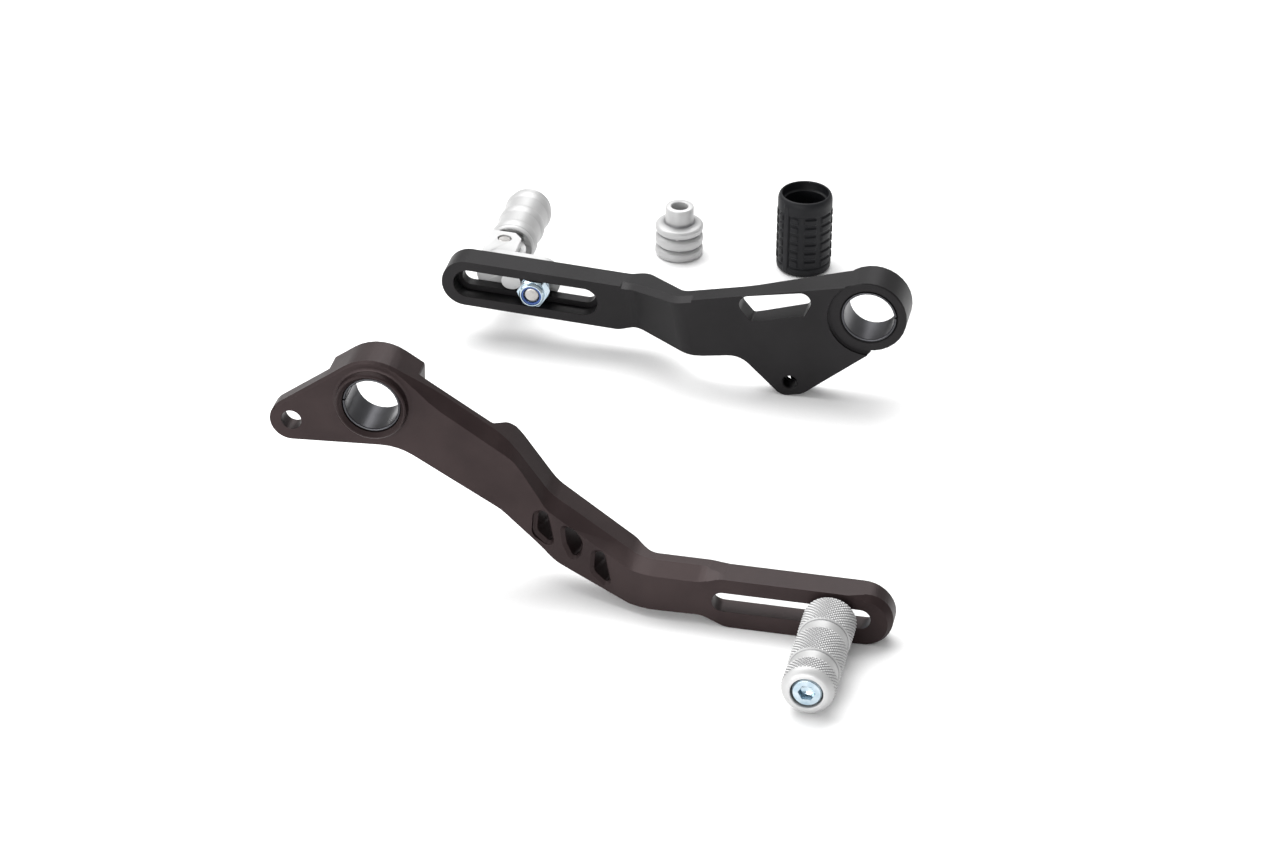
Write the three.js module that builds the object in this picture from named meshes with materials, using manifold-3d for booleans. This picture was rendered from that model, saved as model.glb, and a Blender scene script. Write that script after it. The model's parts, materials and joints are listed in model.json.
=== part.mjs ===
// A motorcycle foot-lever set: a rear-brake lever and a gear-shift lever, each with a foot peg
// that slides along a slot, and a loose spacer and a loose rubber sleeve for the shift peg.
// Millimetres. +X runs along the levers, +Y along their pivot axes, away from the rider, +Z up.
// The origin is the middle of the set's box, on the surface that it stands on.
import * as THREE from "three";
import { mergeVertices } from "three/addons/utils/BufferGeometryUtils.js";
import Module from "manifold-3d";

const wasm = await Module();
wasm.setup();

// ---- Driving dimensions ----

const FIT = 0.1; // radial gap round a pressed or threaded piece
const TOUCH = 0.3; // gap between two faces that rest on each other
const SEGMENTS = 32; // sides of a full turn
const ARC_STEP = Math.PI / 17; // a rounded corner turns by about this much per side
const PAST = 1; // how far a cutting tool runs past the face it cuts

const BAR_THICK = 10.2;
const PIVOT_BORE = 18; // inside diameter of both pivot bushes
const BUSH_WALL = 1;
const BUSH_SEAM = 0.5;
const PEG_DIAMETER = 18;

const THREAD = 6; // every screw in the set is M6
const SLOT_NARROW = 6.8;
const SLOT_WIDE = 10.8; // the nut slides in this stretch and can't turn
const SLOT_LIP = 4.2; // depth of the narrow stretch on the shift bar
const NUT_FLATS = 9.9;
const NUT_HEX_HEIGHT = 4.6;
const NUT_HEIGHT = 6;
const NUT_COLLAR = 9.3;
const WASHER_DIAMETER = 10.4;
const WASHER_THICK = 1.5;

const BRAKE = {
  pivot: new THREE.Vector3(-70.95, -93.7, 62.2), // pivot axis, on the front face of the arm
  hubRadius: 15.6,
  hubDepth: 14,
  block: { radius: 17.8, right: 14.4 }, // the thick part of the hub
  armThick: 6.2,
  ear: { x: -27.9, z: -10.1, radius: 7.2, hole: 7 },
  collarRadius: 12,
  collarProud: 3,
  joggle: 12, // the bar stands this far in front of the arm
  barBottom: -62.2,
  barTop: -44,
  wristTop: -43.3, // the top steps down a little from the bend to the bar
  barEnd: 177.1,
  slot: { z: -52.75, from: 120.6, to: 166.3, height: 7.2, wideHeight: SLOT_WIDE, lip: 6, overrun: 2.5 },
  pegAt: 156.9,
  pegLength: 46.3,
};

const SHIFT = {
  pivot: new THREE.Vector3(71.65, 46.2, 34.5),
  hubRadius: 13.5,
  hubDepth: 15.4,
  faceSink: 1.5, // the hub's front face lies this far behind the arm's
  sinkRadius: 14.6,
  armThick: 7.4,
  armTilt: THREE.MathUtils.degToRad(12.6),
  joggle: 14, // the bar stands this far behind the arm
  barTilt: 0.048, // the bar rises by this much per millimetre towards its free end
  rodHole: { x: -27.2, z: -29.2, radius: 2.5, chamfer: 0.4 }, // tapped M6
  slot: { from: -148.2, to: -105.7 },
  boltAt: -124.4,
  slotMiddleAt: (x) => -13.23 - 0.048 * (x + 124.4),
};

const TIP = {
  axisAt: -15.1, // the folding peg's axis, measured along the bar from the clamp bolt
  barrelRadius: 8.75,
  plateThick: 3.8,
  plateRadius: 8,
  pinX: -16.3, // hinge pin, beside the peg's axis
  forkHalfWidth: 5.9,
  forkHalfHeight: 7,
  tongueHalf: 3,
  tongueRadius: 8,
  pinAt: 14.4, // hinge pin, measured back from the rear face of the bar
  pinDiameter: 5,
  forkEnd: 5, // the fork ends this far past the pin
  barrelFrom: 6.6,
  barrelLength: 33,
};

const SPACER = { x: -14.85, y: 140.8, radius: 9, neckRadius: 5.3, boreRadius: 3.15, height: 19.7 };
const SLEEVE = { x: 32.35, y: 141.6, radius: 10.35, mouthRadius: 8.6, boreRadius: 7.9, height: 30.7 };

// ---- Materials ----

const metal = (color, roughness, metalness = 0.9) => () =>
  new THREE.MeshStandardMaterial({ color, roughness, metalness });
const BROWN_ANODISED = metal(0x2b2424, 0.5, 0.7);
const BLACK_ANODISED = metal(0x232223, 0.5, 0.7);
const SILVER_ANODISED = metal(0xc9cacb, 0.42);
const ZINC = metal(0xb9c6cf, 0.25);
const BUSH_STEEL = metal(0x77787c, 0.35);
const STEEL = metal(0x9a9b9d, 0.3);
const NYLON = metal(0x2c4f8f, 0.5, 0);
const RUBBER = metal(0x1b1c1d, 0.8, 0);

// ---- Shape helpers ----

function solid(geometry) {
  const bare = geometry.index ? geometry.toNonIndexed() : geometry.clone();
  bare.deleteAttribute("normal");
  bare.deleteAttribute("uv");
  const merged = mergeVertices(bare, 1e-4);
  return new wasm.Manifold(
    new wasm.Mesh({
      numProp: 3,
      vertProperties: merged.attributes.position.array,
      triVerts: new Uint32Array(merged.index.array),
    }),
  );
}

function geometryOf(manifold) {
  const mesh = manifold.getMesh();
  const geometry = new THREE.BufferGeometry();
  geometry.setAttribute("position", new THREE.BufferAttribute(mesh.vertProperties, 3));
  geometry.setIndex(new THREE.BufferAttribute(mesh.triVerts, 1));
  const flat = geometry.toNonIndexed();
  flat.computeVertexNormals();
  return flat;
}

function node(name, shape, material) {
  const mesh = new THREE.Mesh(geometryOf(shape), material());
  mesh.name = name;
  return mesh;
}

// Points along an arc that starts at an angle and turns by another.
function arcPoints(x, y, radius, start, turn) {
  const steps = Math.max(1, Math.ceil(Math.abs(turn) / ARC_STEP));
  return Array.from({ length: steps + 1 }, (_, i) => {
    const angle = start + (turn * i) / steps;
    return new THREE.Vector2(x + radius * Math.cos(angle), y + radius * Math.sin(angle));
  });
}

// One corner of a closed outline of [x, y, radius] corners, rounded by an arc of its radius.
function roundedCorner([x, y, radius = 0], before, after) {
  const corner = new THREE.Vector2(x, y);
  if (!radius) return [corner];
  const toBefore = new THREE.Vector2(before[0] - x, before[1] - y).normalize();
  const toAfter = new THREE.Vector2(after[0] - x, after[1] - y).normalize();
  const half = Math.acos(toBefore.dot(toAfter)) / 2;
  const middle = toBefore.clone().add(toAfter).normalize();
  const centre = corner.clone().addScaledVector(middle, radius / Math.sin(half));
  const first = corner.clone().addScaledVector(toBefore, radius / Math.tan(half)).sub(centre);
  const turn = (Math.PI - 2 * half) * Math.sign(toAfter.cross(toBefore));
  return arcPoints(centre.x, centre.y, radius, first.angle(), turn);
}

function roundedOutline(corners) {
  const count = corners.length;
  const points = corners.map((corner, i) =>
    roundedCorner(corner, corners[(i + count - 1) % count], corners[(i + 1) % count]),
  );
  return new THREE.Shape(points.flat());
}

// A slot's outline: two half circles of one radius round two points.
function slotOutline(x0, y0, x1, y1, radius) {
  const along = Math.atan2(y1 - y0, x1 - x0);
  const right = arcPoints(x1, y1, radius, along - Math.PI / 2, Math.PI);
  const left = arcPoints(x0, y0, radius, along + Math.PI / 2, Math.PI);
  return new THREE.Shape([...right, ...left]);
}

function circleOutline(x, y, radius, sides = SEGMENTS) {
  const shape = new THREE.EllipseCurve(x, y, radius, radius);
  return new THREE.Shape(shape.getPoints(sides).slice(0, sides));
}

// An outline drawn in X and Z, made solid from y0 to y1.
function sideSolid(shape, y0, y1) {
  const geometry = new THREE.ExtrudeGeometry(shape, { depth: y1 - y0, bevelEnabled: false });
  return solid(geometry.rotateX(Math.PI / 2).translate(0, y1, 0));
}

// An outline drawn in X and Y, made solid from z0 to z1.
function planSolid(shape, z0, z1) {
  const geometry = new THREE.ExtrudeGeometry(shape, { depth: z1 - z0, bevelEnabled: false });
  return solid(geometry.translate(0, 0, z0));
}

// A turned solid on the Y axis, from a closed profile of [radius, y] points.
function turned(profile, segments = SEGMENTS) {
  const points = profile.map(([r, y]) => new THREE.Vector2(r, y));
  points.push(points[0].clone());
  if (THREE.ShapeUtils.area(points) > 0) points.reverse();
  return solid(new THREE.LatheGeometry(points.reverse(), segments));
}

// The same on the Z axis, from [radius, z] points.
function turnedUpright(profile, segments = SEGMENTS) {
  return turned(profile, segments).rotate([90, 0, 0]);
}

function boreAt(x, z, radius, y0, y1, sides = SEGMENTS) {
  return sideSolid(circleOutline(x, z, radius, sides), y0, y1);
}

// A prism whose cross-section changes along X: each section is four [x, y, z] corners.
function loft(sections) {
  const corners = sections.flat(2);
  const faces = [];
  const quad = (a, b, c, d) => faces.push(a, b, c, a, c, d);
  quad(0, 3, 2, 1);
  for (let i = 0; i + 1 < sections.length; i += 1) {
    const here = 4 * i;
    const next = here + 4;
    for (let side = 0; side < 4; side += 1) {
      const other = (side + 1) % 4;
      quad(here + side, here + other, next + other, next + side);
    }
  }
  const last = corners.length / 3 - 4;
  quad(last, last + 1, last + 2, last + 3);
  const geometry = new THREE.BufferGeometry();
  geometry.setAttribute("position", new THREE.Float32BufferAttribute(corners, 3));
  geometry.setIndex(faces);
  return solid(geometry);
}

// Where the vertical line at x meets an outline's points: the highest or the lowest crossing.
function crossing(points, x, pick) {
  const found = [];
  points.forEach((a, i) => {
    const b = points[(i + 1) % points.length];
    if (a.x === b.x || (a.x - x) * (b.x - x) > 0) return;
    found.push(a.y + ((b.y - a.y) * (x - a.x)) / (b.x - a.x));
  });
  return pick(...found);
}

// The wedge that leaves a sloping facet along the front edge of a lever's top.
// reach(x) is the facet's depth along Y, and its front edge follows an outline of its own.
function facetWedge(sidePoints, bandPoints, edgePoints, from, to, reach) {
  const stations = [...sidePoints, ...bandPoints, ...edgePoints].map((p) => p.x);
  const inside = stations.filter((x) => x > from && x < to);
  const sorted = [...new Set([from, ...inside, to])].sort((a, b) => a - b);
  const spaced = sorted.filter((x, i) => i === 0 || x - sorted[i - 1] > 0.3);
  const sections = spaced.map((x) => {
    const top = crossing(sidePoints, x, Math.max);
    const front = crossing(bandPoints, x, Math.min);
    const drop = Math.max(top - crossing(edgePoints, x, Math.max), 0.004);
    const slope = drop / reach(x);
    return [
      [x, front - PAST, top - drop - slope * PAST],
      [x, front + reach(x), top],
      [x, front + reach(x), top + 3 * PAST],
      [x, front - PAST, top + 3 * PAST],
    ];
  });
  return loft(sections);
}

const ease = (x, from, to) => THREE.MathUtils.smoothstep(x, from, to);

// ---- Fasteners and bushes, each with its axis along Y and its seat at y = 0 ----

function hexPrism(flats, y0, y1) {
  const radius = flats / Math.sqrt(3);
  const corners = [0, 1, 2, 3, 4, 5].map((i) => [
    radius * Math.cos((i * Math.PI) / 3),
    radius * Math.sin((i * Math.PI) / 3),
  ]);
  return sideSolid(roundedOutline(corners), y0, y1);
}

// A nylon-insert locknut that grows from its seat towards -Y.
function locknut() {
  const corner = NUT_FLATS / Math.sqrt(3) + 0.05;
  const blank = turned([
    [THREAD / 2 + FIT, 0],
    [corner - 0.5, 0],
    [corner, -0.4],
    [corner, -NUT_HEX_HEIGHT + 0.5],
    [corner - 0.9, -NUT_HEX_HEIGHT],
    [THREAD / 2 + FIT, -NUT_HEX_HEIGHT],
  ]);
  const collar = turned([
    [THREAD / 2 + FIT, -NUT_HEX_HEIGHT + 1],
    [NUT_COLLAR / 2, -NUT_HEX_HEIGHT + 1],
    [NUT_COLLAR / 2, -NUT_HEIGHT + 0.6],
    [NUT_COLLAR / 2 - 0.6, -NUT_HEIGHT],
    [NUT_COLLAR / 2 - 0.9, -NUT_HEIGHT],
    [NUT_COLLAR / 2 - 0.9, -NUT_HEX_HEIGHT],
    [THREAD / 2 + FIT, -NUT_HEX_HEIGHT],
  ]);
  return hexPrism(NUT_FLATS, -NUT_HEX_HEIGHT, 0).intersect(blank).add(collar);
}

function locknutRing() {
  const outer = NUT_COLLAR / 2 - 0.9 - FIT;
  return turned([
    [THREAD / 2 + FIT, -NUT_HEX_HEIGHT - FIT],
    [outer, -NUT_HEX_HEIGHT - FIT],
    [outer, -NUT_HEIGHT + 0.3],
    [THREAD / 2 + FIT, -NUT_HEIGHT + 0.3],
  ]);
}

function washer() {
  return turned([
    [THREAD / 2 + 0.2, 0],
    [WASHER_DIAMETER / 2, 0],
    [WASHER_DIAMETER / 2, -WASHER_THICK],
    [THREAD / 2 + 0.2, -WASHER_THICK],
  ]);
}

// A split wrapped bush from y0 to y1, its seam at the given angle.
function splitBush(y0, y1, seamAngle) {
  const inner = PIVOT_BORE / 2;
  const outer = inner + BUSH_WALL - FIT / 2;
  const ring = turned([
    [inner, y0 + 0.3],
    [inner + 0.3, y0],
    [outer - 0.2, y0],
    [outer, y0 + 0.4],
    [outer, y1 - 0.4],
    [outer - 0.2, y1],
    [inner + 0.3, y1],
    [inner, y1 - 0.3],
  ]);
  const seam = new THREE.BoxGeometry(2 * BUSH_WALL + 1, y1 - y0 + 2, BUSH_SEAM);
  seam.translate(inner + BUSH_WALL / 2, (y0 + y1) / 2, 0).rotateY(-seamAngle);
  return ring.subtract(solid(seam));
}

// ---- Brake lever ----

function brakeOutline() {
  const end = (BRAKE.barTop - BRAKE.barBottom) / 2 - 0.05;
  return roundedOutline([
    [-51.95, -18.8, BRAKE.ear.radius],
    [8.4, -15.25, 20],
    [43.3, -35.0, 15],
    [61.6, -51.7, 12],
    [89.1, -59.2, 6],
    [113.6, -58.7, 7],
    [121.6, BRAKE.barBottom, 7],
    [BRAKE.barEnd, BRAKE.barBottom, end],
    [BRAKE.barEnd, BRAKE.barTop, end],
    [121, BRAKE.barTop, 4],
    [115, BRAKE.wristTop, 4],
    [90.6, BRAKE.wristTop, 12],
    [59.0, -29.3, 11],
    [44.2, -9.0, 32],
    [-0.9, 18.7, BRAKE.hubRadius],
  ]);
}

// The front face's upper edge, below the facet. Under the lever it runs outside the arm.
function brakeFacetEdge() {
  return roundedOutline([
    [-60, -40],
    [185, -70],
    [185, BRAKE.barTop],
    [119.5, BRAKE.barTop, 8],
    [112.4, -46.1, 8],
    [89.3, -46.1, 12],
    [58.94, -33.3, 8],
    [47.7, -15.9, 14],
    [21.2, 0.8, 30],
    [1.01, 19.14, 14.8],
    [-34.6, -7.4],
  ]);
}

// The thick part of the hub: the lever's outline within a circle, cut off square on the right.
function brakeBlock(side) {
  const { hubDepth, block } = BRAKE;
  const { radius, right } = block;
  const limit = roundedOutline([
    [-radius - PAST, -radius - PAST],
    [right, -radius - PAST],
    [right, 9.65, 2.5],
    [0.5, 18.6],
    [-radius - PAST, 18.6],
  ]);
  const disc = boreAt(0, 0, radius, 0, hubDepth);
  return sideSolid(side, 0, hubDepth).intersect(disc).intersect(sideSolid(limit, 0, hubDepth));
}

// A bevel round the bar's end, on the face at y and running inwards along sign. On the face it
// is as wide as narrow, and the shift of its centre by dx and dz widens it on the far side.
function endBevel(y, sign, narrow, dx, dz) {
  const radius = (BRAKE.barTop - BRAKE.barBottom) / 2;
  const depth = 2.4;
  const spread = Math.hypot(dx, dz) + 0.05;
  const slope = (narrow + spread) / depth;
  const ring = turned([
    [radius - narrow, y],
    [radius + spread, y + depth * sign],
    [radius + 4, y + depth * sign],
    [radius + 4, y - PAST * sign],
    [radius - narrow - slope * PAST, y - PAST * sign],
  ]);
  const half = new THREE.BoxGeometry(2 * radius, 40, 4 * radius).translate(radius, 0, 0);
  const middle = (BRAKE.barTop + BRAKE.barBottom) / 2;
  return ring.intersect(solid(half)).translate([BRAKE.barEnd - radius + dx, 0, middle + dz]);
}

// The front bevel's run-in: along the bar's straight top edge it grows to meet the end's bevel.
function bevelRunIn(side, band) {
  const radius = (BRAKE.barTop - BRAKE.barBottom) / 2;
  const to = BRAKE.barEnd - radius + 0.03;
  const from = to - 9;
  const drop = 1.48;
  const edge = [
    [from - 1, BRAKE.barTop],
    [from, BRAKE.barTop],
    [to, BRAKE.barTop - drop],
    [to + 1, BRAKE.barTop - drop],
    [to + 1, BRAKE.barBottom],
    [from - 1, BRAKE.barBottom],
  ].map(([x, z]) => new THREE.Vector2(x, z));
  const reach = (x) => 0.15 + (1.75 * (x - from)) / (to - from);
  return facetWedge(side.getPoints(), band.getPoints(), edge, from, to, reach);
}

// The arm seen from above: it bends forward to the bar, and is thinned between hub and bend.
function brakeBand() {
  const barBack = BAR_THICK - BRAKE.joggle;
  return roundedOutline([
    [-60, 0],
    [58.2, 0, 18],
    [95.6, -BRAKE.joggle, 18],
    [190, -BRAKE.joggle],
    [190, barBack],
    [95, barBack, 6],
    [88.5, 4.6, 4],
    [58.2, 14.4, 8],
    [44.0, 14.4, 5.5],
    [39.2, BRAKE.armThick, 1.5],
    [-60, BRAKE.armThick],
  ]);
}

function brakeCollar() {
  const { collarRadius, collarProud, hubDepth } = BRAKE;
  const bore = PIVOT_BORE / 2 - 1;
  return turned([
    [bore, -collarProud],
    [collarRadius - 0.4, -collarProud],
    [collarRadius, -collarProud + 0.4],
    [collarRadius, -1.5],
    [collarRadius + 0.45, -0.45],
    [collarRadius + 1.5, 0],
    [collarRadius + 1.5, 1],
    [bore, hubDepth - 1],
  ]);
}

// A lightening hole, square to the bent stretch of the arm, chamfered where it comes out in front.
function lighteningHole(corners) {
  const bend = Math.atan2(BRAKE.joggle, 95.6 - 58.2);
  const along = (x) => (x - 58.2) / Math.cos(bend);
  const outline = roundedOutline(corners.map(([x, z, radius]) => [along(x), z, radius]));
  const chamfer = 1.1;
  const mouth = new THREE.ExtrudeGeometry(outline, {
    depth: PAST,
    bevelThickness: chamfer,
    bevelSize: chamfer,
    bevelSegments: 1,
  });
  const flared = solid(mouth.rotateX(Math.PI / 2));
  const turn = -THREE.MathUtils.radToDeg(bend);
  return sideSolid(outline, -PAST, 30).add(flared).rotate([0, 0, turn]).translate([58.2, 0, 0]);
}

// The three holes are the gaps of a truss: two point down to the right, the middle one up.
function lighteningHoles() {
  const outer = (x, z) => [
    [x - 2.2, z + 4.2, 1.8],
    [x + 0.9, z + 5.4, 1.4],
    [x + 3.3, z - 5.2, 1.2],
    [x + 1.6, z - 5.9, 0.9],
    [x - 2.7, z - 3.2, 2.4],
  ];
  const middle = [
    [64.7, -37.6, 1.2],
    [68.9, -38.3, 3],
    [71.2, -41.4, 2.5],
    [70.4, -46.3, 2],
    [68.2, -48.9, 1.3],
    [65.4, -43.6, 5],
  ];
  return [outer(57.4, -39.4), middle, outer(78.2, -48.2)].map(lighteningHole);
}

function brakeArm() {
  const side = brakeOutline();
  const band = brakeBand();
  const { ear, slot, hubDepth, hubRadius, joggle } = BRAKE;
  const front = -joggle;
  const bar = sideSolid(side, -30, 30).intersect(planSolid(band, -80, 40));
  const blank = bar.add(brakeBlock(side)).add(brakeCollar());
  const facetEnd = 121;
  const reach = (x) => 1.1 + 2.8 * ease(x, 3, 24) + 2.1 * ease(x, 36, 88) - 2.6 * ease(x, 112, facetEnd);
  const edge = brakeFacetEdge().getPoints();
  const wedge = facetWedge(side.getPoints(), band.getPoints(), edge, -34, facetEnd, reach);
  const narrow = slotOutline(slot.from, slot.z, slot.to, slot.z, slot.height / 2);
  const wideFrom = slot.from - slot.overrun + 1.8;
  const wideTo = slot.to + slot.overrun - 1.8;
  const wide = slotOutline(wideFrom, slot.z, wideTo, slot.z, slot.wideHeight / 2);
  const boreRadius = PIVOT_BORE / 2 + BUSH_WALL + FIT / 2;
  const mouth = turned([
    [0, -BRAKE.collarProud - PAST],
    [boreRadius + 1.2 + PAST, -BRAKE.collarProud - PAST],
    [boreRadius, -BRAKE.collarProud + 1.2],
    [boreRadius, hubDepth + PAST],
    [0, hubDepth + PAST],
  ]);
  return [
    wedge,
    mouth,
    boreAt(ear.x, ear.z, ear.hole / 2, -PAST, hubRadius),
    sideSolid(narrow, front - PAST, front + BAR_THICK + PAST),
    sideSolid(wide, front + slot.lip, front + BAR_THICK + PAST),
    endBevel(front, 1, 0.75, -0.8, -0.75),
    bevelRunIn(side, band),
    endBevel(front + BAR_THICK, -1, 0, -2.3, 0),
    ...lighteningHoles(),
  ].reduce((arm, cut) => arm.subtract(cut), blank);
}

// The peg's axis is its group's Y axis, and y = 0 is the front face of the bar.
function brakePeg() {
  const radius = PEG_DIAMETER / 2;
  const end = -BRAKE.pegLength;
  const groove = 0.8;
  const grooved = (middle) => [
    [radius, end + middle - 3.2],
    [radius - 0.62 * groove, end + middle - 2.2],
    [radius - groove, end + middle],
    [radius - 0.62 * groove, end + middle + 2.2],
    [radius, end + middle + 3.2],
  ];
  const counterbore = 5.45;
  const head = 6.5;
  return turned([
    [THREAD / 2 + 0.2, -TOUCH],
    [6.8, -TOUCH],
    [6.8, -2],
    [radius - 0.5, -2],
    [radius, -2.5],
    ...grooved(28.9).reverse(),
    ...grooved(11).reverse(),
    [radius, end + 4.6],
    [radius - 0.35, end + 2.9],
    [radius - 1.1, end + 1.3],
    [radius - 2.1, end + 0.35],
    [radius - 3, end],
    [counterbore, end],
    [counterbore, end + head],
    [THREAD / 2 + 0.2, end + head],
  ]);
}

function brakePegBolt() {
  const top = -BRAKE.pegLength + 0.4;
  const seat = top + 6 + TOUCH / 3;
  const bolt = turned(
    [
      [0, top],
      [4.5, top],
      [5, top + 0.5],
      [5, top + 6],
      [THREAD / 2, seat],
      [THREAD / 2, seat + 54.3],
      [THREAD / 2 - 0.7, seat + 55],
      [0, seat + 55],
    ],
    32,
  );
  const socket = hexPrism(5, top - PAST, top + 3);
  const drillPoint = turned(
    [
      [0, top + 2.5],
      [2.4, top + 2.5],
      [2.4, top + 3],
      [0, top + 4.2],
    ],
    16,
  );
  return bolt.subtract(socket).subtract(drillPoint);
}

// ---- Shift lever ----

function shiftOutline() {
  const barEnd = -157.9;
  const middle = SHIFT.slotMiddleAt(barEnd);
  const half = 8.87;
  return roundedOutline([
    [barEnd, middle - half, half - 0.1],
    [-92.5, -23.8, 6],
    [-86.5, -22.0, 6],
    [-60.5, -22.7, 18],
    [-45.5, -20.4, 9],
    [-30.0, -35.0, 5],
    [-22.45, -33.2, 6],
    [1.2, -13.8],
    [-2.9, 12.9],
    [-89.9, -6.1, 9],
    [barEnd, middle + half, half - 0.1],
  ]);
}

// The arm seen square to its own top edge: it bends back to the bar and thickens to the hub.
function shiftBand() {
  const barBack = SHIFT.joggle + BAR_THICK;
  return roundedOutline([
    [-180, SHIFT.joggle],
    [-88, SHIFT.joggle, 9],
    [-68, 0, 9],
    [30, 0],
    [30, 13],
    [-5, 13, 20],
    [-41, SHIFT.armThick, 30],
    [-66, SHIFT.armThick, 6],
    [-83, barBack, 8],
    [-180, barBack],
  ]);
}

function rodHoleCut() {
  const { x, z, radius, chamfer } = SHIFT.rodHole;
  const back = SHIFT.armThick;
  return turned([
    [0, -PAST],
    [radius + chamfer + PAST, -PAST],
    [radius, chamfer],
    [radius, back - chamfer],
    [radius + chamfer + PAST, back + PAST],
    [0, back + PAST],
  ]).translate([x, 0, z]);
}

function shiftArm() {
  const side = shiftOutline();
  const band = shiftBand();
  const { hubRadius, hubDepth, faceSink, joggle, slot, slotMiddleAt } = SHIFT;
  const tilt = THREE.MathUtils.radToDeg(SHIFT.armTilt);
  const profile = sideSolid(side, -10, 40);
  const bent = profile.intersect(planSolid(band, -80, 60).rotate([0, -tilt, 0]));
  const hub = turned([
    [PIVOT_BORE / 2 - 1, faceSink],
    [hubRadius - 0.4, faceSink],
    [hubRadius, faceSink + 0.4],
    [hubRadius, hubDepth - 0.4],
    [hubRadius - 0.4, hubDepth],
    [PIVOT_BORE / 2 - 1, hubDepth],
  ]);
  const sink = turned([
    [0, -PAST],
    [SHIFT.sinkRadius, -PAST],
    [SHIFT.sinkRadius, faceSink - 0.6],
    [SHIFT.sinkRadius - 0.6, faceSink],
    [0, faceSink],
  ]);
  const tiltedBand = band.getPoints().map((p) => new THREE.Vector2(p.x / Math.cos(SHIFT.armTilt) + 0.9, p.y));
  const edge = side.getPoints().map((p) => new THREE.Vector2(p.x, p.y - 0.9));
  const wedge = facetWedge(side.getPoints(), tiltedBand, edge, -92, -63.4, () => 3.7);
  const boreRadius = PIVOT_BORE / 2 + BUSH_WALL + FIT / 2;
  const bore = turned([
    [0, faceSink - PAST],
    [boreRadius + 0.5 + PAST, faceSink - PAST],
    [boreRadius, faceSink + 0.5],
    [boreRadius, hubDepth + PAST],
    [0, hubDepth + PAST],
  ]);
  const window = roundedOutline([
    [-49.3, 2.7, 3.6],
    [-41.8, -6.15, 1.2],
    [-22.8, -1.85, 1.2],
    [-18.0, 8.7, 3.6],
  ]);
  const slotAt = (radius) =>
    slotOutline(slot.from, slotMiddleAt(slot.from), slot.to, slotMiddleAt(slot.to), radius);
  const recessDepth = BAR_THICK - SLOT_LIP;
  return [
    wedge,
    sink,
    bore,
    sideSolid(window, -PAST, 20),
    rodHoleCut(),
    sideSolid(slotAt(SLOT_NARROW / 2), joggle - PAST, joggle + BAR_THICK + PAST),
    sideSolid(slotAt(SLOT_WIDE / 2), joggle - PAST, joggle + recessDepth),
  ].reduce((arm, cut) => arm.subtract(cut), bent.subtract(sink).add(hub));
}

// ---- Folding shift peg: x = 0 is the clamp bolt, y = 0 the front face of the bar ----

const PLATE_FROM = BAR_THICK + TOUCH;
const PLATE_TO = PLATE_FROM + TIP.plateThick;
const PIN_Y = BAR_THICK + TIP.pinAt;

function pegCarrier() {
  const { pinX, plateRadius, forkHalfWidth, forkHalfHeight, tongueHalf, pinDiameter, forkEnd } = TIP;
  const radius = PEG_DIAMETER / 2;
  const plate = sideSolid(slotOutline(TIP.axisAt, 0, 0, 0, plateRadius), PLATE_FROM, PLATE_TO);
  const keyRadius = SLOT_NARROW / 2 - 0.3;
  const key = sideSolid(
    slotOutline(-12.9 + keyRadius, 0, -5.8 - keyRadius, 0, keyRadius),
    BAR_THICK - SLOT_LIP + 0.4,
    PLATE_FROM + PAST,
  );
  const fork = planSolid(
    roundedOutline([
      [pinX - forkHalfWidth, PLATE_TO - PAST],
      [pinX + forkHalfWidth, PLATE_TO - PAST],
      [pinX + forkHalfWidth, PIN_Y + 1.5],
      [pinX + 3, PIN_Y + forkEnd],
      [pinX - forkHalfWidth, PIN_Y + forkEnd],
    ]),
    -forkHalfHeight,
    forkHalfHeight,
  );
  const gap = tongueHalf + TOUCH;
  const opening = new THREE.BoxGeometry(4 * radius, 30, 2 * gap);
  opening.translate(pinX, PLATE_TO + 0.4 + 15, 0);
  const pinHole = turnedUpright([
    [0, -radius],
    [pinDiameter / 2 + FIT, -radius],
    [pinDiameter / 2 + FIT, radius],
    [0, radius],
  ]).translate([pinX, PIN_Y, 0]);
  const boltHole = turned([
    [0, 0],
    [THREAD / 2 + 0.2, 0],
    [THREAD / 2 + 0.2, PLATE_TO - 3.5],
    [6.3, PLATE_TO - 0.2],
    [6.3, PLATE_TO + PAST],
    [0, PLATE_TO + PAST],
  ]);
  return plate.add(key).add(fork).subtract(solid(opening)).subtract(pinHole).subtract(boltHole);
}

function clampBolt() {
  const back = PLATE_TO - 0.2;
  const tip = -0.9;
  const bolt = turned(
    [
      [0, tip],
      [THREAD / 2 - 0.6, tip],
      [THREAD / 2, tip + 0.6],
      [THREAD / 2, back - 3.3],
      [5.9, back - 0.4],
      [5.9, back],
      [0, back],
    ],
    32,
  );
  return bolt.subtract(hexPrism(4, back - 2.4, back + PAST));
}

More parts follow.
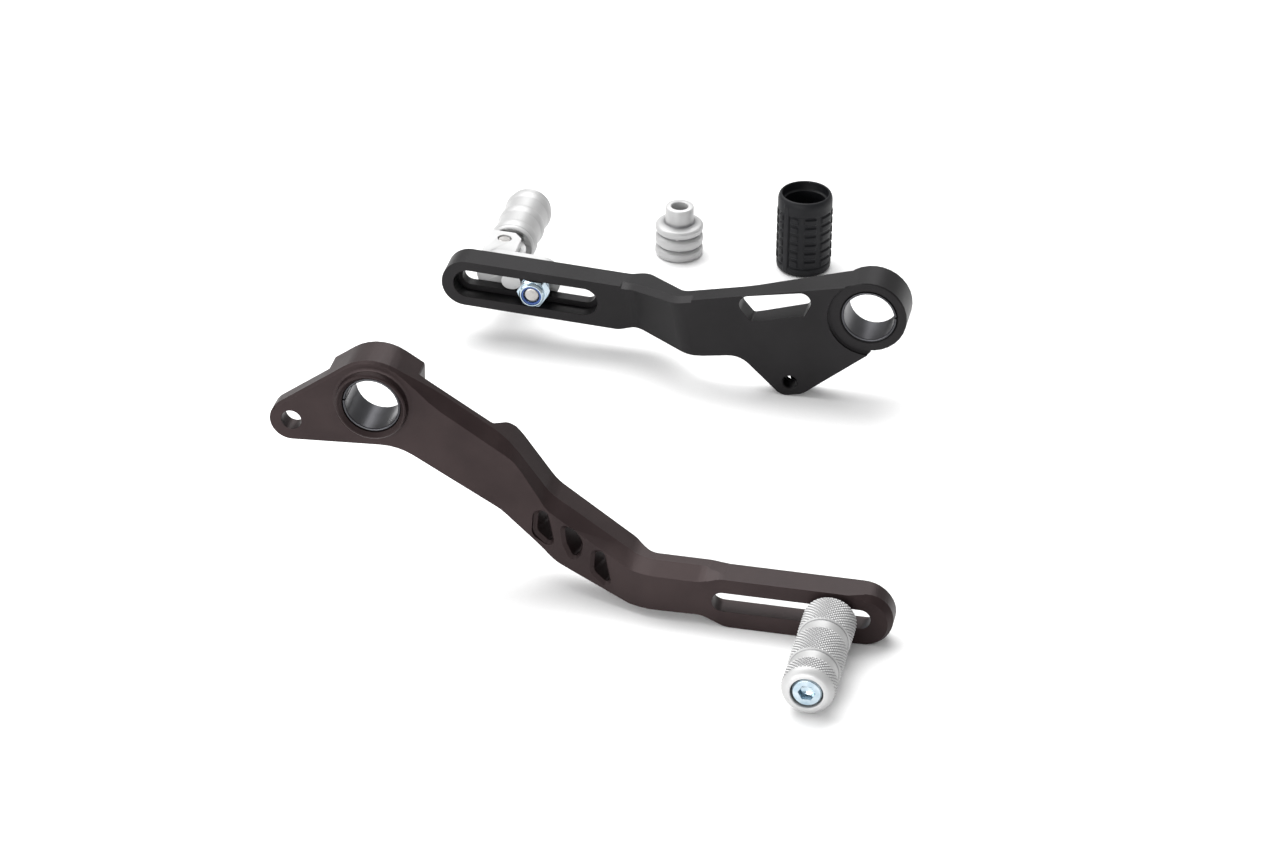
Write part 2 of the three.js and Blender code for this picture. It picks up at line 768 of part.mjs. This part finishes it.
function pegTip() {
  const { axisAt, pinX, tongueHalf, tongueRadius, forkHalfWidth, pinDiameter, barrelFrom, barrelLength } = TIP;
  const radius = TIP.barrelRadius;
  const start = PIN_Y + barrelFrom;
  const end = start + barrelLength;
  const ridge = (peak) => [
    [radius - 0.45, peak - 2.4],
    [radius, peak - 0.4],
    [radius, peak + 0.4],
    [radius - 0.35, peak + 1.3],
    [radius - 0.55, peak + 1.6],
  ];
  const barrel = turned([
    [0, start],
    [radius - 1, start],
    [radius - 0.2, start + 0.9],
    ...[34.5, 45.8].flatMap((peak) => ridge(peak)),
    ...ridge(57.1).slice(0, 4),
    [radius - 1.3, end - 1.6],
    [radius - 2.6, end - 0.5],
    [radius - 4.2, end],
    [0, end],
  ]).translate([axisAt, 0, 0]);
  const disc = planSolid(circleOutline(pinX, PIN_Y, tongueRadius), -tongueHalf, tongueHalf);
  const keep = new THREE.BoxGeometry(3 * radius, 4 * radius, 4 * radius);
  keep.translate(pinX - forkHalfWidth + 1.5 * radius, PIN_Y, 0);
  const neck = new THREE.BoxGeometry(2 * forkHalfWidth, barrelFrom + 2, 2 * tongueHalf);
  neck.translate(pinX, PIN_Y + barrelFrom / 2 + 1, 0);
  const slit = new THREE.BoxGeometry(6, 0.7, 4 * tongueHalf);
  slit.translate(pinX + forkHalfWidth + 3, start - 0.35, 0);
  const tongue = disc.intersect(solid(keep)).subtract(solid(slit)).add(solid(neck));
  const pinBore = turnedUpright([
    [0, -radius],
    [pinDiameter / 2 + 0.2, -radius],
    [pinDiameter / 2 + 0.2, -0.8],
    [4.9, -0.8],
    [4.9, tongueHalf + PAST],
    [0, tongueHalf + PAST],
  ]).translate([pinX, PIN_Y, 0]);
  return barrel.add(tongue).subtract(pinBore);
}

function foldPin() {
  const half = TIP.forkHalfHeight - 0.3;
  const radius = TIP.pinDiameter / 2;
  return turnedUpright(
    [
      [0, -half],
      [radius - 0.4, -half],
      [radius, -half + 0.4],
      [radius, half - 0.4],
      [radius - 0.4, half],
      [0, half],
    ],
    24,
  ).translate([TIP.pinX, PIN_Y, 0]);
}

// A torsion spring of three turns round the pin, in the pocket of the tongue.
class Helix extends THREE.Curve {
  constructor(radius, turns, height) {
    super();
    Object.assign(this, { radius, turns, height });
  }

  getPoint(t, target = new THREE.Vector3()) {
    const angle = 2 * Math.PI * this.turns * t;
    return target.set(this.radius * Math.cos(angle), this.radius * Math.sin(angle), this.height * t);
  }
}

function foldSpring() {
  const wire = 0.4;
  const path = new Helix(3.8, 2.9, 2.75);
  const section = circleOutline(0, 0, wire, 6);
  const coil = new THREE.ExtrudeGeometry(section, { steps: 42, extrudePath: path });
  return solid(coil.translate(TIP.pinX, PIN_Y, -0.25));
}

// ---- Loose pieces ----

function spacer() {
  const { radius, neckRadius, boreRadius, height } = SPACER;
  const groove = (z) => [
    [radius - 0.35, z - 0.75],
    [radius - 0.8, z - 0.3],
    [radius - 0.8, z + 0.3],
    [radius - 0.35, z + 0.75],
  ];
  return turnedUpright([
    [boreRadius, 0],
    [radius - 0.7, 0],
    [radius, 0.7],
    [radius, 3.1],
    ...groove(4.2),
    [radius, 5.4],
    [radius, 7.9],
    ...groove(9.1),
    [radius, 10.3],
    [radius, 11.9],
    [radius - 0.5, 12.6],
    [neckRadius + 0.8, 13.3],
    [neckRadius, 14],
    [neckRadius, height - 0.5],
    [neckRadius - 0.5, height],
    [boreRadius, height],
  ]).translate([SPACER.x, SPACER.y, 0]);
}

function rubberSleeve() {
  const { radius, mouthRadius, boreRadius, height } = SLEEVE;
  return turnedUpright([
    [boreRadius, 0],
    [radius - 1.4, 0],
    [radius - 0.4, 0.5],
    [radius, 1.6],
    [radius, height - 2.6],
    [radius - 0.5, height - 1],
    [radius - 1.2, height],
    [mouthRadius, height],
    [mouthRadius, height - 3],
    [boreRadius, height - 3.6],
  ]).translate([SLEEVE.x, SLEEVE.y, 0]);
}

// ---- The set ----

const set = new THREE.Group();

const brake = new THREE.Group();
brake.position.copy(BRAKE.pivot);
brake.add(node("brake_arm", brakeArm(), BROWN_ANODISED));
brake.add(node("brake_bush", splitBush(-1.4, BRAKE.hubDepth - 0.5, 3.05), BUSH_STEEL));

const brakePegGroup = new THREE.Group();
brakePegGroup.position.set(BRAKE.pegAt, -BRAKE.joggle, BRAKE.slot.z);
const brakeSeat = BRAKE.slot.lip + FIT;
const turnRound = (shape, y) => shape.rotate([0, 0, 180]).translate([0, y, 0]);
brakePegGroup.add(
  node("brake_peg", brakePeg(), SILVER_ANODISED),
  node("brake_peg_bolt", brakePegBolt(), ZINC),
  node("brake_washer", turnRound(washer(), brakeSeat), ZINC),
  node("brake_locknut", turnRound(locknut(), brakeSeat + WASHER_THICK + FIT), ZINC),
  node("brake_locknut_ring", turnRound(locknutRing(), brakeSeat + WASHER_THICK + FIT), NYLON),
);
brake.add(brakePegGroup);

const shift = new THREE.Group();
shift.position.copy(SHIFT.pivot);
shift.add(node("shift_arm", shiftArm(), BLACK_ANODISED));
shift.add(node("shift_bush", splitBush(SHIFT.faceSink + 0.1, SHIFT.hubDepth - 0.5, 0.1), BUSH_STEEL));

const carriage = new THREE.Group();
carriage.position.set(SHIFT.boltAt, SHIFT.joggle, SHIFT.slotMiddleAt(SHIFT.boltAt));
carriage.rotation.y = Math.atan(SHIFT.barTilt);
const shiftSeat = BAR_THICK - SLOT_LIP - FIT;
const nutSeat = shiftSeat - WASHER_THICK - FIT;
carriage.add(
  node("shift_peg_carrier", pegCarrier(), SILVER_ANODISED),
  node("shift_clamp_bolt", clampBolt(), STEEL),
  node("shift_washer", washer().translate([0, shiftSeat, 0]), ZINC),
  node("shift_locknut", locknut().translate([0, nutSeat, 0]), ZINC),
  node("shift_locknut_ring", locknutRing().translate([0, nutSeat, 0]), NYLON),
  node("shift_peg_tip", pegTip(), SILVER_ANODISED),
  node("fold_pin", foldPin(), STEEL),
  node("fold_spring", foldSpring(), STEEL),
);
shift.add(carriage);

set.add(brake, shift);
set.add(node("spacer", spacer(), SILVER_ANODISED));
set.add(node("rubber_sleeve", rubberSleeve(), RUBBER));

export default set;
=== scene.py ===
import json
import math

import bmesh
import bpy
from mathutils import Matrix, Quaternion, Vector


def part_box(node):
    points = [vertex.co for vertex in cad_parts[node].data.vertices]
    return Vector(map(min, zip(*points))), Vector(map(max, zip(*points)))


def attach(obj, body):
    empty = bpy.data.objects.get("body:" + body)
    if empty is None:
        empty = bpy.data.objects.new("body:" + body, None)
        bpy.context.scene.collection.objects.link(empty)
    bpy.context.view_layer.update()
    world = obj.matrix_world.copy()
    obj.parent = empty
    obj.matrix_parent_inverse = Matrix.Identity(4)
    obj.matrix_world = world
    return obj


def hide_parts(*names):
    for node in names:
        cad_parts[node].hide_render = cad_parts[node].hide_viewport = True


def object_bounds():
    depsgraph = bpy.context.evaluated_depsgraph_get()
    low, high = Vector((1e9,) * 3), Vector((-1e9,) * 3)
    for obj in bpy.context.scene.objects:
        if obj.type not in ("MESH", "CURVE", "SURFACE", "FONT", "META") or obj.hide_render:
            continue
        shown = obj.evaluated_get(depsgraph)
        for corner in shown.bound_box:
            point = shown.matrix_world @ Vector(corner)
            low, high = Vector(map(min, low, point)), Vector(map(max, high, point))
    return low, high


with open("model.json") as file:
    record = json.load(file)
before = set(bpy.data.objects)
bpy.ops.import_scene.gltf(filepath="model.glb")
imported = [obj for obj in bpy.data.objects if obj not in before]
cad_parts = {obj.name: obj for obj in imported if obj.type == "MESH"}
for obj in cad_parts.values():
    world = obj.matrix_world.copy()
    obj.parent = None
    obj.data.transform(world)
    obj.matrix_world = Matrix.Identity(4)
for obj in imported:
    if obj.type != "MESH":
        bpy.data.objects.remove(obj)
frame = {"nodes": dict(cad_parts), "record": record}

MM = 0.001
NOISE_SPAN = (0.3, 0.7)  # where most values of a noise texture lie
cad_box = [list(corner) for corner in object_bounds()]
NODES = frame["nodes"]
RECORD = frame["record"]
BODY_OF = {n: body for body, names in RECORD["behaviour"]["bodies"].items() for n in names}
SLOT_OF = {part["node"]: part["material_slot"] for part in RECORD["subparts"]}


# ---- Camera ----

CAMERA_AT = Vector((0.27985, -1.3764, 0.852))
CAMERA_TARGET = Vector((-0.00285, 0.0131, 0.0))
CAMERA_ROLL = math.radians(0.8)

camera_data = bpy.data.cameras.new("camera")
camera_data.lens = 132.2
camera_data.sensor_width = 36
camera_data.clip_start = 0.05
camera = bpy.data.objects.new("camera", camera_data)
bpy.context.scene.collection.objects.link(camera)
look = (CAMERA_TARGET - CAMERA_AT).to_track_quat("-Z", "Y")
camera.rotation_mode = "QUATERNION"
camera.rotation_quaternion = look @ Quaternion((0, 0, 1), CAMERA_ROLL)
camera.location = CAMERA_AT
bpy.context.scene.camera = camera


# ---- Materials ----

class Surface:
    """A Principled material under construction, textured in the object's own metres."""

    def __init__(self, name, metallic, ior=1.5):
        self.material = bpy.data.materials.new(name)
        self.material.use_nodes = True
        self.tree = self.material.node_tree
        self.shader = self.tree.nodes["Principled BSDF"]
        self.shader.inputs["Metallic"].default_value = metallic
        self.shader.inputs["IOR"].default_value = ior
        self.place = self.add("ShaderNodeTexCoord").outputs["Object"]

    def add(self, kind):
        return self.tree.nodes.new(kind)

    def link(self, output, socket):
        self.tree.links.new(output, socket)

    def stretched(self, scale):
        mapping = self.add("ShaderNodeMapping")
        mapping.inputs["Scale"].default_value = scale
        self.link(self.place, mapping.inputs["Vector"])
        return mapping.outputs["Vector"]

    def noise(self, scale, detail=2.0, stretch=None):
        texture = self.add("ShaderNodeTexNoise")
        texture.inputs["Scale"].default_value = scale
        texture.inputs["Detail"].default_value = detail
        self.link(self.stretched(stretch) if stretch else self.place, texture.inputs["Vector"])
        return texture.outputs["Fac"]

    def ramp(self, factor, stops):
        ramp = self.add("ShaderNodeValToRGB")
        elements = ramp.color_ramp.elements
        for element, (position, color) in zip(elements, stops):
            element.position = position
            element.color = (*color, 1)
        for position, color in stops[2:]:
            elements.new(position).color = (*color, 1)
        self.link(factor, ramp.inputs["Fac"])
        return ramp.outputs["Color"]

    def spread(self, factor, low, high):
        spread = self.add("ShaderNodeMapRange")
        spread.inputs["From Min"].default_value = NOISE_SPAN[0]
        spread.inputs["From Max"].default_value = NOISE_SPAN[1]
        spread.inputs["To Min"].default_value = low
        spread.inputs["To Max"].default_value = high
        self.link(factor, spread.inputs["Value"])
        return spread.outputs["Result"]

    def color(self, factor, low, high):
        stops = [(NOISE_SPAN[0], low), (NOISE_SPAN[1], high)]
        self.link(self.ramp(factor, stops), self.shader.inputs["Base Color"])

    def roughness(self, factor, low, high):
        self.link(self.spread(factor, low, high), self.shader.inputs["Roughness"])

    def bumps(self, *layers):
        """Each layer is (factor, height in metres)."""
        normal = None
        for factor, height in layers:
            bump = self.add("ShaderNodeBump")
            bump.inputs["Strength"].default_value = 1.0
            bump.inputs["Distance"].default_value = height
            self.link(factor, bump.inputs["Height"])
            if normal:
                self.link(normal, bump.inputs["Normal"])
            normal = bump.outputs["Normal"]
        self.link(normal, self.shader.inputs["Normal"])


def anodised(name, dark, light, rough):
    """Milled, blasted and dyed aluminium: a fine even grain, faint cutter marks, slow drifts of colour."""
    surface = Surface(name, 0.5)
    surface.shader.inputs["Specular IOR Level"].default_value = 0.32
    drift = surface.noise(55, 4)
    grain = surface.noise(5200, 2)
    cutter = surface.noise(1, 3, stretch=(900, 60, 60))
    surface.color(drift, dark, light)
    surface.roughness(drift, rough - 0.05, rough + 0.07)
    surface.bumps((cutter, 0.000004), (grain, 0.000012))
    return surface.material


def satin_silver(name, low, high, rough):
    """Blasted silver aluminium, with painted shade in the valleys of the knurling and other hollows, and a
    painted highlight on its crests.
    """
    surface = Surface(name, 0.4)
    drift = surface.noise(90, 4)
    grain = surface.noise(4200, 3)
    # Painted shade and highlight: pointiness darkens the base colour in hollows and keeps crests lightest.
    crests = surface.add("ShaderNodeNewGeometry").outputs["Pointiness"]
    shade = surface.add("ShaderNodeMix")
    shade.data_type = "RGBA"
    shade.blend_type = "MULTIPLY"
    shade.inputs["Factor"].default_value = 1.0
    surface.link(surface.ramp(drift, [(0.25, low), (0.75, high)]), shade.inputs["A"])
    valley = [(0.45, (0.16, 0.16, 0.17)), (0.5, (0.86, 0.86, 0.86)), (0.55, (1, 1, 1))]
    surface.link(surface.ramp(crests, valley), shade.inputs["B"])
    surface.link(shade.outputs["Result"], surface.shader.inputs["Base Color"])
    surface.roughness(grain, rough - 0.06, rough + 0.08)
    surface.bumps((grain, 0.00001))
    return surface.material


def plated(name, low, high, rough, patches=400):
    """Bright plating: small clouds in the passivation, and fine turning marks."""
    surface = Surface(name, 1.0)
    cloud = surface.noise(patches, 4)
    fine = surface.noise(3000, 2)
    surface.color(cloud, low, high)
    surface.roughness(cloud, rough - 0.05, rough + 0.09)
    surface.bumps((fine, 0.000006))
    return surface.material


def moulded(name, low, high, rough, grain, height):
    """A dull moulded polymer with a fine grain of the given scale and height."""
    surface = Surface(name, 0.0, 1.33)
    drift = surface.noise(160, 4)
    fine = surface.noise(grain, 4)
    surface.color(drift, low, high)
    surface.roughness(drift, rough - 0.06, rough + 0.08)
    surface.bumps((fine, height))
    return surface.material


MATERIALS = {
    "brown_anodised": anodised("brown_anodised", (0.0195, 0.0115, 0.0118), (0.03, 0.0192, 0.0192), 0.42),
    "black_anodised": anodised("black_anodised", (0.0078, 0.0071, 0.0077), (0.012, 0.0111, 0.012), 0.42),
    "silver_anodised": satin_silver("silver_anodised", (0.475, 0.475, 0.475), (0.54, 0.54, 0.54), 0.46),
    "zinc": plated("zinc", (0.36, 0.47, 0.55), (0.54, 0.62, 0.67), 0.14),
    "bush_steel": plated("bush_steel", (0.055, 0.055, 0.06), (0.08, 0.08, 0.086), 0.32, 60),
    "steel": plated("steel", (0.3, 0.29, 0.28), (0.45, 0.44, 0.43), 0.28, 250),
    "nylon": moulded("nylon", (0.035, 0.075, 0.24), (0.055, 0.11, 0.32), 0.45, 2500, 0.00001),
    "rubber": moulded("rubber", (0.002, 0.0023, 0.0035), (0.0045, 0.0048, 0.0065), 0.52, 3800, 0.000015),
}


# ---- Building pieces ----

def placed(name, mesh, *nodes):
    """Links a mesh as a piece that stands for CAD nodes of one body and takes their finish."""
    piece = bpy.data.objects.new(name, mesh)
    bpy.context.scene.collection.objects.link(piece)
    mesh.materials.clear()
    mesh.materials.append(MATERIALS[SLOT_OF[nodes[0]]])
    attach(piece, BODY_OF[nodes[0]])
    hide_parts(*nodes)
    return piece


def softened(piece, width):
    """Rounds a piece's hard edges a little, as tumbling and anodising leave them."""
    bevel = piece.modifiers.new("edges", "BEVEL")
    bevel.width = width
    bevel.segments = 2
    bevel.limit_method = "ANGLE"
    bevel.angle_limit = math.radians(24)
    bevel.miter_outer = "MITER_ARC"
    weighted = piece.modifiers.new("normals", "WEIGHTED_NORMAL")
    weighted.keep_sharp = True
    return piece


def cleaned(node):
    """A copy of a CAD node's mesh with its flat faces whole again."""
    mesh = NODES[node].data.copy()
    shape = bmesh.new()
    shape.from_mesh(mesh)
    bmesh.ops.remove_doubles(shape, verts=shape.verts, dist=2e-6)
    bmesh.ops.dissolve_limit(
        shape, angle_limit=math.radians(1), verts=shape.verts, edges=shape.edges
    )
    shape.to_mesh(mesh)
    shape.free()
    mesh.shade_smooth()
    mesh.set_sharp_from_angle(angle=math.radians(30))
    return mesh


def refined(node, width):
    """A piece that keeps its CAD node's shape, with softened edges."""
    return softened(placed(node + "_body", cleaned(node), node), width)


def lathe(name, rings, around, radius_at=None):
    """A closed mesh on the Y axis, in millimetres, from a loop of (radius, y) points that may touch
    the axis. radius_at(radius, y, angle) may change a point's radius."""
    shape = bmesh.new()
    columns = []
    for step in range(around):
        angle = 2 * math.pi * step / around
        column = []
        for radius, y in rings:
            r = radius_at(radius, y, angle) if radius_at else radius
            column.append(shape.verts.new((r * math.sin(angle), y, r * math.cos(angle))))
        columns.append(column)
    for step in range(around):
        here, after = columns[step], columns[(step + 1) % around]
        for i in range(len(rings)):
            j = (i + 1) % len(rings)
            shape.faces.new((here[i], here[j], after[j], after[i]))
    bmesh.ops.remove_doubles(shape, verts=shape.verts, dist=1e-4)
    bmesh.ops.recalc_face_normals(shape, faces=shape.faces)
    mesh = bpy.data.meshes.new(name)
    shape.to_mesh(mesh)
    shape.free()
    mesh.shade_smooth()
    mesh.set_sharp_from_angle(angle=math.radians(40))
    return mesh


def stations(start, end, step):
    """Evenly spaced values from start to end, about a step apart."""
    count = max(1, round((end - start) / step))
    return [start + (end - start) * i / count for i in range(count + 1)]


def inside(value, low, high, edge):
    """1 well inside low..high and 0 outside, passing smoothly from one to the other over edge."""
    def smooth(t):
        t = max(0.0, min(1.0, t))
        return t * t * (3 - 2 * t)

    return smooth((value - low) / edge) * smooth((high - value) / edge)


# ---- The knurled brake peg ----

def knurled_peg():
    low, high = (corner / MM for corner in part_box("brake_peg"))
    radius = (high.x - low.x) / 2
    nose, back = low.y, high.y
    diamonds, samples = 42, 8  # diamonds round the peg, and mesh columns across each
    lead = 1.5
    knurl_depth = 0.42
    dome_reach, dome_depth = 4.6, 3.0
    foot_radius, foot_height, foot_chamfer = 6.8, 2, 0.5
    groove_at, groove_half, groove_depth, groove_flank = (11.0, 28.9), 2.9, 0.85, 0.7
    bolt_bore = 3.2
    head_bore, head_depth = 5.45, 6.5

    def envelope(y):
        from_nose = y - nose
        dome = radius
        if from_nose < dome_reach:
            across = (dome_reach - from_nose) / dome_reach
            dome = radius - dome_depth * (1 - math.sqrt(max(0.0, 1 - across * across)))
        edge = radius - max(0.0, foot_chamfer - (back - foot_height - y))
        waist = radius
        for middle in groove_at:
            away = abs(from_nose - middle)
            if away < groove_half:
                waist = radius - groove_depth * min(1.0, (groove_half - away) / groove_flank)
        return min(dome, edge, waist)

    def ridged(r, y, angle):
        if r < foot_radius + 0.05 or y > back - foot_height + 0.1:
            return r
        u = diamonds * angle / (2 * math.pi)
        v = (y - nose) / lead
        valley = max(abs(2 * ((u + v) % 1) - 1), abs(2 * ((u - v) % 1) - 1))
        return min(r, radius - knurl_depth * valley)

    outer = [(envelope(y), y) for y in stations(nose, back - foot_height, lead / samples)]
    rings = outer + [
        (foot_radius, back - foot_height),
        (foot_radius, back),
        (bolt_bore, back),
        (bolt_bore, nose + head_depth),
        (head_bore, nose + head_depth),
        (head_bore, nose + 0.25),
        (head_bore + 0.25, nose),
    ]
    mesh = lathe("brake_peg_knurled", rings, diamonds * samples, ridged)
    middle = Vector(((low.x + high.x) / 2, 0, (low.z + high.z) / 2))
    mesh.transform(Matrix.Scale(MM, 4) @ Matrix.Translation(middle))
    return placed("brake_peg_knurled", mesh, "brake_peg")


# ---- The rubber sleeve and the spacer, both standing on end ----

def upright(mesh, node):
    """Stands a turned mesh on its end, where its CAD node stands."""
    low, high = (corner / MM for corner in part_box(node))
    middle = Vector(((low.x + high.x) / 2, (low.y + high.y) / 2, low.z))
    stand = Matrix.Rotation(math.radians(90), 4, "X")
    mesh.transform(Matrix.Scale(MM, 4) @ Matrix.Translation(middle) @ stand)
    return mesh


def padded_sleeve():
    outer, bore, height = 10.35, 7.9, 30.7
    mouth = 8.6
    first, pitch, pad, rows = 3.4, 3.55, 2.75, 6
    top = first + rows * pitch
    relief, band_rise = 0.62, 0.7
    columns = (  # first and last degree of each column of pads, going round
        (-58, -42),
        (-23, -3),
        (8, 37),
        (47, 82),
        (94, 122),
        (134, 164),
        (176, 204),
        (216, 246),
        (258, 290),
    )
    rib = (-41, -25)

    def within(angle, span):
        degrees = math.degrees(angle)
        turned = (degrees - span[0] + 20) % 360 - 20
        return inside(turned, 0, span[1] - span[0], 2.4)

    def pads(r, z, angle):
        if r < outer - 0.05:
            return r
        along = inside((z - first) % pitch, 0.4, 0.4 + pad, 0.45) if first <= z < top else 0
        raised = max(along * max(within(angle, span) for span in columns), within(angle, rib))
        band = max(inside(z, 0, first, 0.5), inside(z, top, height, 0.5))
        return outer - relief * (1 - max(raised, band_rise * band))

    side = [(outer, z) for z in stations(1.6, height - 2.4, 0.25)]
    rings = [(bore, 0), (8.95, 0), (9.6, 0.2), (10.0, 0.7)] + side + [
        (10.05, height - 1.5),
        (9.7, height - 0.6),
        (9.3, height - 0.1),
        (8.9, height),
        (mouth + 0.05, height - 0.2),
        (mouth, height - 0.6),
        (mouth, height - 3.0),
        (8.45, height - 3.3),
        (bore, height - 3.6),
    ]
    mesh = lathe("rubber_sleeve_padded", rings, 288, pads)
    return placed("rubber_sleeve_padded", upright(mesh, "rubber_sleeve"), "rubber_sleeve")


def ribbed_spacer():
    radius, bore, height = 9.0, 3.15, 19.7
    neck_radius = 5.3
    groove_at, groove_depth, groove_half = (4.15, 9.1), 0.85, 1.15
    pitch = groove_at[1] - groove_at[0]
    crown = 0.32  # how far a rib's middle stands out past its flanks

    def outline(z):
        r = radius
        for middle in groove_at:
            away = abs(z - middle)
            if away < groove_half:
                cut = 0.5 + 0.5 * math.cos(math.pi * away / groove_half)
                r = min(r, radius - groove_depth * cut)
        return r - crown * (1 + math.cos(2 * math.pi * (z - groove_at[0]) / pitch)) / 2

    foot = [(bore, 0.2), (bore + 0.2, 0), (8.1, 0), (8.5, 0.15), (8.75, 0.5)]
    side = [(outline(z), z) for z in stations(1.0, 11.8, 0.2)]
    shoulder = [(8.75, 12.2), (8.4, 12.55), (7.9, 12.7), (6.2, 13.0), (5.6, 13.25), (5.35, 13.8)]
    neck = [
        (neck_radius, 14.4),
        (neck_radius, height - 0.5),
        (neck_radius - 0.15, height - 0.15),
        (neck_radius - 0.4, height),
    ]
    mouth = [(bore + 0.3, height), (bore, height - 0.3)]
    mesh = lathe("spacer_ribbed", foot + side + shoulder + neck + mouth, 128)
    return placed("spacer_ribbed", upright(mesh, "spacer"), "spacer")


# ---- The folding peg's tip: a turned barrel on the CAD's tongue ----

def ridged_barrel():
    low, high = (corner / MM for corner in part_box("shift_peg_tip"))
    radius = (high.z - low.z) / 2
    barrel_length = 33
    end, start = high.y, high.y - barrel_length
    first_crest, crest_pitch, crest_count = 5.3, 11.3, 3
    crests = [start + first_crest + i * crest_pitch for i in range(crest_count)]
    rise, drop, valley = 3.4, 1.3, 6.6  # lengths of a ridge's climb, its fall and the valley behind it
    plain_depth, climb_depth, valley_depth = 0.35, 0.5, 0.85

    def outline(y):
        r = radius - plain_depth
        for crest in crests:
            before, after = crest - y, y - crest
            if 0 <= before < rise:
                r = radius - climb_depth * (before / rise) ** 2
            elif 0 <= after < drop:
                r = radius - valley_depth * (after / drop) ** 1.5
            elif drop <= after < drop + valley:
                climbed = (after - drop) / valley
                r = radius - valley_depth + (valley_depth - climb_depth) * climbed
        return r

    cap = [(radius - 1.6, end - 1.1), (radius - 2.8, end - 0.4), (radius - 4.4, end), (0, end)]
    side = [(outline(y), y) for y in stations(start + 0.9, end - 2.0, 0.25)]
    rings = [(0, start), (radius - 1.2, start), (radius - 0.8, start + 0.3)] + side + cap
    mesh = lathe("peg_tip_barrel", rings, 128)
    middle = Vector(((low.x + high.x) / 2, 0, (low.z + high.z) / 2))
    mesh.transform(Matrix.Scale(MM, 4) @ Matrix.Translation(middle))
    placed("peg_tip_barrel", mesh, "shift_peg_tip")

    tongue = cleaned("shift_peg_tip")
    shape = bmesh.new()
    shape.from_mesh(tongue)
    everything = shape.verts[:] + shape.edges[:] + shape.faces[:]
    cut = (start + 0.02) * MM
    bmesh.ops.bisect_plane(
        shape, geom=everything, plane_co=(0, cut, 0), plane_no=(0, 1, 0), clear_outer=True
    )
    bmesh.ops.holes_fill(shape, edges=[edge for edge in shape.edges if edge.is_boundary])
    shape.to_mesh(tongue)
    shape.free()
    softened(placed("peg_tip_tongue", tongue, "shift_peg_tip"), 0.0002)


# ---- The object ----

DRAWN_FINER = ("brake_peg", "rubber_sleeve", "spacer", "shift_peg_tip")
PLAIN_EDGE = 0.0001
EDGES = {
    "brake_arm": 0.00045,
    "shift_arm": 0.00045,
    "shift_peg_carrier": 0.0003,
    "brake_peg_bolt": 0.0002,
    "shift_clamp_bolt": 0.0002,
    "brake_locknut": 0.0002,
    "shift_locknut": 0.0002,
    "brake_bush": 0.0001,
    "shift_bush": 0.0001,
}

knurled_peg()
padded_sleeve()
ribbed_spacer()
ridged_barrel()
for node, width in EDGES.items():
    refined(node, width)
for node in NODES:
    if node not in EDGES and node not in DRAWN_FINER:
        refined(node, PLAIN_EDGE)


# ---- Floor and light ----

def floor():
    half_width, gap = 6.0, 0.0002
    shape = bmesh.new()
    bmesh.ops.create_grid(shape, x_segments=4, y_segments=4, size=half_width)
    mesh = bpy.data.meshes.new("floor")
    shape.to_mesh(mesh)
    shape.free()
    surface = Surface("floor_paper", 0.0)
    grain = surface.noise(900, 2)
    surface.color(grain, (0.92, 0.92, 0.92), (0.94, 0.94, 0.94))
    surface.roughness(grain, 0.85, 0.95)
    mesh.materials.append(surface.material)
    sheet = bpy.data.objects.new("floor", mesh)
    sheet.location.z = cad_box[0][2] - gap
    bpy.context.scene.collection.objects.link(sheet)


def area_light(name, at, size, power):
    """A rectangular softbox that faces the middle of the floor."""
    data = bpy.data.lights.new(name, "AREA")
    data.shape = "RECTANGLE"
    data.size, data.size_y = size
    data.energy = power
    light = bpy.data.objects.new(name, data)
    light.location = at
    light.rotation_euler = (-Vector(at)).to_track_quat("-Z", "Y").to_euler()
    bpy.context.scene.collection.objects.link(light)


floor()
area_light("back", (-0.5, 0.75, 1.75), (2.4, 1.6), 60)
area_light("left", (-1.6, -0.3, 0.9), (1.2, 1.2), 7)
area_light("front", (-0.5, -1.7, 0.4), (1.6, 0.7), 25)

world = bpy.data.worlds.new("studio")
world.use_nodes = True
background = world.node_tree.nodes["Background"]
background.inputs["Color"].default_value = (1, 1, 1, 1)
background.inputs["Strength"].default_value = 0.5
bpy.context.scene.world = world
bpy.context.scene.view_settings.view_transform = "Standard"
